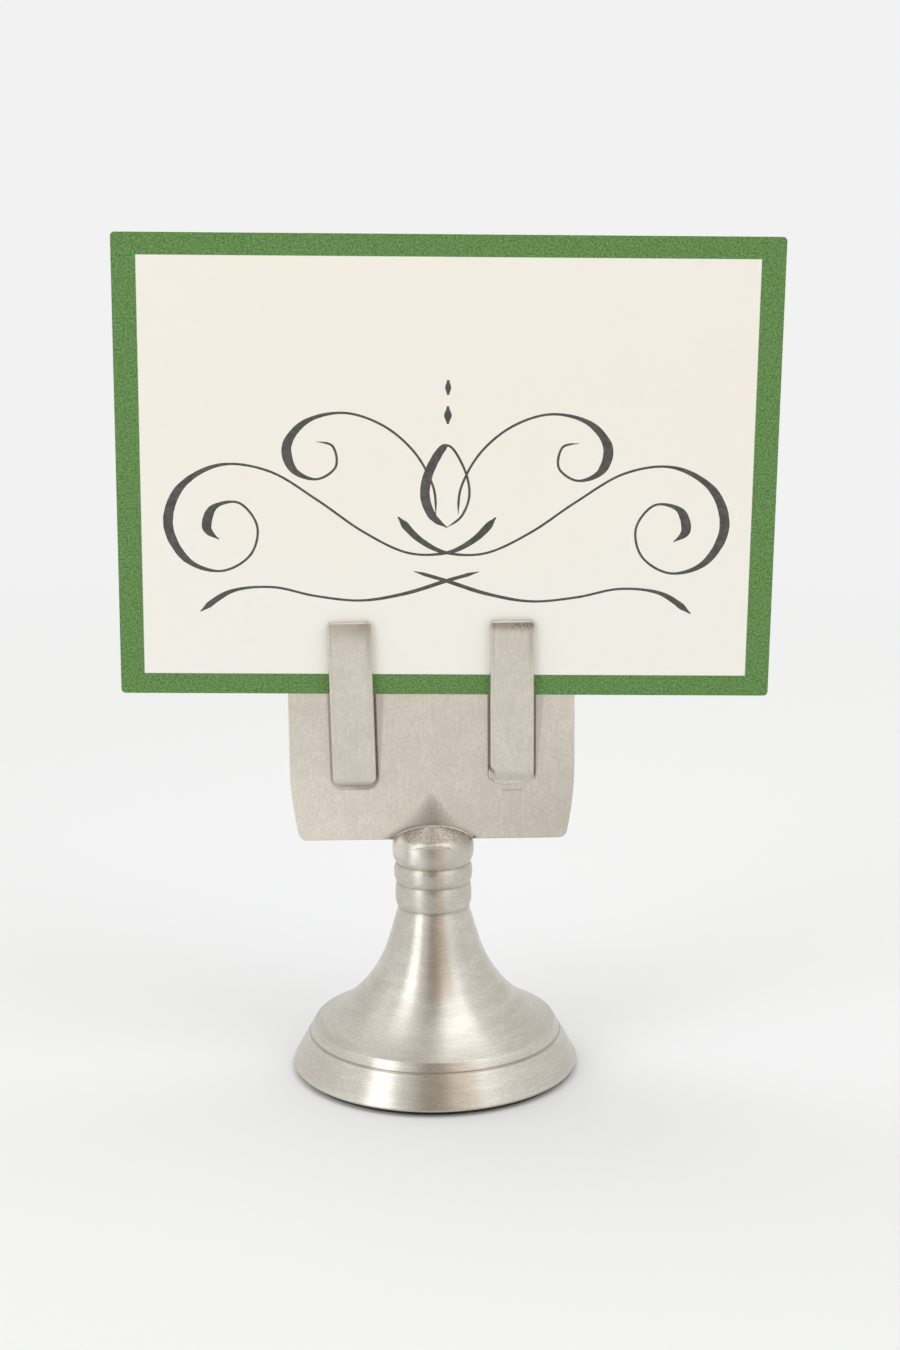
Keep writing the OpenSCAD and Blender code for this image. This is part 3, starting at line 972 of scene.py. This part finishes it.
def plateWearAndShade(values):
    look = plateLook
    x, z, grain = (values[name] for name in ("x", "z", "grain"))
    # painted reflection of the dome in the plate above it
    low, high, half = look["flame"]
    left = ((high - z) / (high - low)).most(0.0).least(1.0)
    spread = left.maths("POWER", look["flamePower"]) * half + look["flameTip"]
    height = z - domeCentre
    ragged, shift = look["flameRagged"]
    values["flameLeft"] = left
    values["flame"] = abs(x + grain * ragged + shift) / spread
    # painted shade along the joint of plate and dome
    ragged, shift = look["domeRagged"]
    dome = grain * ragged + (neckLook["domeRadius"] + shift)
    values["overDome"] = (x * x + height * height).root() - dome
    # painted shade in the corners where the dome ends
    shadeX, shadeZ = look["burns"]
    shadeX, shadeZ = abs(x) - shadeX, z - shadeZ
    values["burn"] = (shadeX * shadeX + shadeZ * shadeZ).root()
    values["scratch"] = abs(z + grain * look["scratchRagged"] - look["scratchZ"])
    addPlaces(values, look["places"])
    corner = fingerLook["cornerRadius"]
    growth, footWidth = look["bandWidth"]
    level = z - look["footZ"]
    above = level.most(0.0)
    below = (corner - level).most(0.0)
    footShades = []
    # painted shade in each finger's gap and painted shadow to its right
    for side, outward, leftShare, rightShare, footShare in look["gaps"]:
        across = acrossFinger(x, z, side, outward)
        beyond = (abs(across) - (fingerLook["width"] / 2.0 - corner)).most(0.0)
        gap = (beyond * beyond + below * below).root() - corner
        near = {"gap": gap, "across": across, "band": gap / (above * growth + footWidth)}
        share = across.rise(-1.0, 1.0, leftShare, rightShare) * level.rise(0.2, 2.0, footShare, 1.0)
        footShades.append(markShare(near, look["gapMarks"]) * share * values["front"])
    values["rightFinger"] = across
    wornAndPaintedLight = footShades[0].most(footShades[1]).most(markShare(values, look["tarnishAndShade"]))
    growth, middle = look["shade"]
    shade = x * growth * z.rise(*look["shadeFade"]) + middle
    return {"tarnishAndShade": (wornAndPaintedLight * grain.rise(*look["grainRange"])).most(shade)}


plateMetal = layeredFinish("plateMetal", {**sheetLook, **plateLook["metal"]}, plateWearAndShade)
plateMesh = slabMesh("backPlate", plateOutline(plateLook), plateLook["thickness"],
                     plateLook["edge"])
plateMesh.transform(Matrix.Translation(Vector((0.0, plateLook["thickness"] / 2.0,
                                               plateLow.z)) * mm))
addSlab("backPlate", plateMesh, plateMetal, "holder", "back_plate")
print("plate cut")


lineInputs = [
    # name in the tree and in a look, unit and default value
    ("Step", "step", mm, 0.2), ("Fine Width", "fineWidth", mm, 0.3), ("Swell", "swell", mm, 0.0),
    ("Flatness", "flatness", 1.0, 1.0), ("Uneven", "uneven", 1.0, 0.2), ("Taper", "taper", mm, 1.0),
    ("Seed", "seed", 1.0, 0.0),
]
lineShape = {
    "pressPower": 1.4,       # how suddenly a line swells where it goes down
    "endWidth": 0.25,        # share of its width that is left at its ends
    "waves": 0.9, "sides": 10,
}


def drawnLineTree():
    # Runs a round or flattened line smoothly through the points, thicker where it goes down.
    inputs = [(name, "NodeSocketFloat", unit * value) for name, key, unit, value in lineInputs]
    inputs.append(("Finish", "NodeSocketMaterial", None))
    tree, board, start = geometryTree("drawnLine", inputs)
    step, fine, swell, flatness, uneven, taper, seed = (start.other(line[0]) for line in lineInputs)
    curve = board.node("GeometryNodeMeshToCurve", {}, {"Mesh": start.other("Geometry")})
    curve = board.node("GeometryNodeCurveSplineType", {"spline_type": "CATMULL_ROM"},
                       {"Curve": curve})
    curve = board.node("GeometryNodeResampleCurve", {"mode": "LENGTH"},
                       {"Curve": curve, "Length": step})
    curve = board.node("GeometryNodeSetCurveNormal", {"mode": "Z_UP"}, {"Curve": curve})
    fall = -board.node("GeometryNodeInputTangent").split()[1]
    press = fall.most(0.0).maths("POWER", lineShape["pressPower"])
    run = board.node("GeometryNodeSplineParameter", out="Length")
    whole = board.node("GeometryNodeSplineLength")
    ends = run.rise(0.0, taper) * (whole - run).rise(0.0, taper)
    x, y, z = board.node("GeometryNodeInputPosition").split()
    wave = cloud(board, (x / mm, y / mm, z / mm + seed), lineShape["waves"])
    left = lineShape["endWidth"]
    width = (fine + swell * press) * (ends * (1.0 - left) + left)
    width = width * ((wave - 0.5) * uneven * 2.0 + 1.0)
    ring = board.node("GeometryNodeCurvePrimitiveCircle", {"mode": "RADIUS"},
                      {"Resolution": lineShape["sides"], "Radius": 0.5})
    ring = board.node("GeometryNodeTransform", {}, {
        "Geometry": ring, "Scale": combine(board, 1.0, flatness, 1.0)})
    line = board.node("GeometryNodeCurveToMesh", {}, {"Curve": curve, "Profile Curve": ring,
                                                      "Scale": width, "Fill Caps": True})
    closeTree(board, start, line)
    return tree


def drawLines(name, lines, look, finish):
    points, edges = [], []
    for line in lines:
        edges += [(len(points) + i, len(points) + i + 1) for i in range(len(line) - 1)]
        points += [Vector(point) * mm for point in line]
    mesh = bpy.data.meshes.new(name)
    mesh.from_pydata(points, edges, [])
    values = {label: look[key] * unit for label, key, unit, value in lineInputs}
    return runTree(name, mesh, drawnLine, {**values, "Finish": finish})


drawnLine = drawnLineTree()


solderLook = {
    "fineWidth": 0.24, "swell": 0.0, "flatness": 1.0, "uneven": 0.45, "step": 0.12, "taper": 0.8,
    "seed": 3.0,
    "halfRun": 5.3, "halfSteps": 12,     # from the middle of the dome to each end of the line
    "plateHalf": 0.78, "sink": 0.05,
    "bright": (0.90, 0.885, 0.84), "dull": (0.62, 0.59, 0.53), "roughness": 0.28, "cut": 0.02,
    "layers": {"flecks": ("straight", (1.0, 1.0, 1.0), 2.2, 3.0, 0.6)},
    "edgeWidth": 0.22, "edgeSink": 0.02, "edgeTurns": (-38, 39, 4),
    "drop": [(7.95, -0.86, 43.5), (8.0, -0.9, 42.9), (8.15, -0.92, 42.3), (8.5, -0.9, 41.7)],
    "dropWidth": 0.5,
}


def domeHeight(radius):
    # Height of the unfiled dome at a radius, its rounded side included.
    corner, start = domeCorner(neckLook, neckLook["sideRound"])[::2]
    if radius <= start:
        return domeCentre + sqrt(neckLook["domeRadius"] ** 2 - radius ** 2)
    inner = topBeadRadius - neckLook["sideRound"]
    return corner + sqrt(neckLook["sideRound"] ** 2 - (radius - inner) ** 2)


def solderRun(side, look):
    # The line along the foot of the plate, in front of it or behind.
    run = []
    for step in range(2 * look["halfSteps"] + 1):
        x = look["halfRun"] * (step / look["halfSteps"] - 1.0)
        height = domeHeight(hypot(x, look["plateHalf"])) - look["sink"]
        run.append((x, side * look["plateHalf"], height))
    return run


def edgeRun(look):
    # The filed edge of the dome, from left to right.
    sideCorner = domeCorner(neckLook, neckLook["sideRound"])[0]
    frontCorner = domeCorner(neckLook, neckLook["frontRound"], neckLook["frontLean"])[0]
    run = []
    for turn in range(*look["edgeTurns"]):
        share = filedShare(neckLook, turn)
        level = sideCorner + (frontCorner - sideCorner) * share + 0.5 * neckLook["frontRound"]
        reach = topBeadRadius - neckLook["frontLean"] * share - look["edgeSink"]
        angle = radians(turn)
        run.append((reach * sin(angle), -reach * cos(angle), level))
    return run


solder = layeredFinish("solder", {**fleckedLook, **solderLook})
seams = [solderRun(side, solderLook) for side in (-1.0, 1.0)]
solderPieces = [
    # name, lines, width and slot
    ("solderLines", seams, "fineWidth", "turned_metal"),
    # a bright solder line on the filed edge stands for its painted highlight
    ("filedEdge", [edgeRun(solderLook)], "edgeWidth", "turned_metal"),
    ("solderDrop", [solderLook["drop"]], "dropWidth", "sheet_metal"),
]
for name, lines, width, slot in solderPieces:
    mesh = drawLines(name, lines, dict(solderLook, fineWidth=solderLook[width]), solder)
    addPiece(name, mesh, "holder")
print("joints soldered")


feltLook = {
    "radius": 19.2, "thickness": 0.7, "edge": 0.25, "longest": 1.2, "steps": 160,
    "dull": (0.018, 0.016, 0.019), "bright": (0.050, 0.046, 0.052),
    "layers": {
        "wool": ("straight", (1.0, 1.0, 1.0), 2.4, 5.0, 0.75),
        "hairs": ("straight", (6.0, 1.3, 3.0), 1.0, 3.0, 0.7),
    },
    "tone": {"wool": 0.6, "hairs": 0.4}, "toneRange": (0.32, 0.68),
    "rough": {}, "roughness": 0.95,
    "relief": {"wool": 0.6, "hairs": 0.4}, "cut": 0.12,
    "sockets": {"Sheen Weight": 0.25, "Sheen Roughness": 0.5},
}

feltOutline = roundCorners([
    (0.0, 0.0), (feltLook["radius"], 0.0, feltLook["edge"]),
    (feltLook["radius"], feltLook["thickness"], feltLook["edge"] * 0.4),
    (0.0, feltLook["thickness"])], 5)
feltMesh = turnPiece("feltPad", fillLine(feltOutline, feltLook["longest"]), feltLook["steps"],
                     layeredFinish("feltCloth", feltLook))
addPiece("feltPad", feltMesh, "holder", ["felt_pad"])

screwLook = {
    "bright": (0.60, 0.60, 0.58), "dull": (0.42, 0.42, 0.41), "roughness": 0.25, "cut": 0.01,
    "layers": {"flecks": ("straight", (1.0, 1.0, 6.0), 1.1, 4.0, 0.65)},
}

steel = layeredFinish("screwSteel", {**fleckedLook, **screwLook})
for node in ("tie_screw", "lock_washer"):
    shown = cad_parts[node]
    shown.data.materials.clear()
    shown.data.materials.append(steel)
print("felt laid, screw finished")


cardLook = {
    "width": 88.9, "height": 62.6, "thickness": 0.3, "cornerRadius": 0.6, "edge": 0.04,
    "place": (1.9, -0.78, 54.3), "lean": 1.793, "turn": 1.0,
    "border": (3.25, 2.85, 2.95),            # sides, bottom, top
    "borderEdge": (-0.05, 0.05),
    "green": (0.1300, 0.2640, 0.0810), "greenSpread": 0.42,
    "cream": (0.952, 0.920, 0.850),
    "creamWarm": (1.005, 0.985, 0.965),      # times the cream, in clouds
    "creamLow": (0.945, 0.936, 0.885), "lowFade": (36.0, 2.0),
    "fibreDark": 0.98,
    "clouds": {
        # marks per mm, detail and roughness
        "grain": (3.6, 2.0, 0.75), "fibre": (0.8, 4.0, 0.7), "mottle": (0.06, 3.0, 0.55),
    },
    "ranges": {"grain": (0.28, 0.72), "fibre": (0.3, 0.7, 0.0, 0.5), "mottle": (0.35, 0.65)},
    "printed": (0.6, 0.8),                   # share of the thickness where the print begins
    "roughness": 0.82,
    "relief": {"grain": 0.6, "fibre": 0.6}, "cut": 0.008,
    "sockets": {"Specular IOR Level": 0.25},
}
cardTurn = (Matrix.Rotation(radians(cardLook["lean"]), 4, "X")
            @ Matrix.Rotation(radians(cardLook["turn"]), 4, "Y"))
cardPlace = Matrix.Translation(Vector(cardLook["place"]) * mm) @ cardTurn


def cardPaper(name, look):
    material, board, place = newMaterial(name)
    local = board.node("ShaderNodeMapping", {"vector_type": "TEXTURE"},
                       {"Vector": combine(board, *place), "Location": Vector(look["place"]),
                        "Rotation": cardTurn.to_euler("XYZ")})
    x, y, z = local.split()
    sides, bottom, top = look["border"]
    inside = (look["width"] / 2.0 - sides - abs(x)).rise(*look["borderEdge"])
    inside = inside * (z - bottom).rise(*look["borderEdge"])
    inside = inside * (look["height"] - top - z).rise(*look["borderEdge"])
    front = (-y).rise(*[look["thickness"] * share for share in look["printed"]])
    border = (1.0 - inside) * front
    layers = {layer: cloud(board, (x, y, z), *scales) for layer, scales in look["clouds"].items()}
    shares = {layer: layers[layer].rise(*limits) for layer, limits in look["ranges"].items()}
    greenDark = Vector(look["green"]) * (1.0 - look["greenSpread"])
    greenLight = Vector(look["green"]) * (1.0 + look["greenSpread"])
    green = blendColour(board, shares["grain"], greenDark, greenLight)
    creamWarm = [level * warm for level, warm in zip(look["cream"], look["creamWarm"])]
    creamDark = Vector(look["creamLow"]) * look["fibreDark"]
    cream = blendColour(board, shares["mottle"], look["cream"], creamWarm)
    cream = blendColour(board, z.rise(*look["lowFade"]), cream, look["creamLow"])
    cream = blendColour(board, shares["fibre"], cream, creamDark)
    colour = blendColour(board, border, cream, green)
    relief = mixLayers(layers, look["relief"])
    return finishMaterial(material, board, colour, look["roughness"], relief, look)


cardOutline = uprightOutline(cardLook["width"], cardLook["height"], cardLook["cornerRadius"],
                             cardLook["cornerRadius"])
cardMesh = slabMesh("placeCard", fillLine(cardOutline, 6.0), cardLook["thickness"],
                    cardLook["edge"], 2)
cardMesh.transform(cardPlace)
addSlab("placeCard", cardMesh, cardPaper("cardPaper", cardLook), "card", "place_card")
print("card printed")


penLook = {
    "fineWidth": 0.33, "swell": 1.0, "flatness": 0.03, "uneven": 0.12, "step": 0.22, "taper": 1.6,
    "seed": 11.0,
    "dull": (0.072, 0.070, 0.066), "bright": (0.125, 0.120, 0.110), "toneRange": (0.35, 0.7),
    "roughness": 0.5, "cut": 0.0, "sockets": {"Specular IOR Level": 0.3},
    "layers": {"flecks": ("straight", (1.0, 1.0, 1.0), 1.3, 4.0, 0.7)},
    # Points on the card in mm, from its middle and its lower edge. Each half is drawn with its
    # mirror image.
    "halves": [
        [(-6.6, 24.8), (-3.8, 21.8), (0.0, 19.9), (5.4, 19.9), (11.4, 22.8), (17.4, 27.0),
         (23.8, 30.9), (30.4, 31.8), (35.8, 28.8), (37.6, 23.6), (35.2, 18.8), (30.6, 17.2),
         (26.6, 19.4), (25.6, 23.4), (28.0, 26.6), (31.4, 26.0), (32.4, 23.2), (30.8, 21.6)],
        [(1.5, 25.2), (1.9, 29.0), (4.4, 33.6), (8.6, 37.2), (13.8, 38.9), (18.8, 37.8),
         (21.5, 34.6), (20.7, 31.2), (17.6, 29.9), (15.0, 31.6), (15.4, 34.4), (17.6, 35.0)],
        [(-4.4, 17.3), (0.0, 16.0), (5.6, 14.2), (11.6, 13.2), (17.8, 13.8), (23.6, 15.0),
         (29.2, 14.4), (33.4, 11.6)],
    ],
    "middle": [
        [(0.0, 23.4), (2.0, 25.0), (3.0, 28.0), (2.2, 31.6), (0.0, 34.6), (-2.2, 31.6),
         (-3.0, 28.0), (-2.0, 25.0), (0.0, 23.4)],
        [(0.0, 39.9), (0.0, 37.5)],
        [(0.0, 43.4), (0.0, 41.4)],
    ],
}


penStrokes = []
for stroke in penLook["halves"]:
    penStrokes += [[(x, z, 0.0) for x, z in stroke], [(-x, z, 0.0) for x, z in stroke]]
penStrokes += [[(x, z, 0.0) for x, z in stroke] for stroke in penLook["middle"]]
penMesh = drawLines("penFlourish", penStrokes, penLook,
                    layeredFinish("penInk", {**fleckedLook, **penLook}))
cardFace = Matrix.Translation(Vector((0.0, -cardLook["thickness"], 0.0)) * mm)
penMesh.transform(cardPlace @ cardFace @ Matrix.Rotation(radians(90.0), 4, "X"))
addPiece("penFlourish", penMesh, "card")
print("flourish drawn:", len(penMesh.polygons), "faces")


print("done")
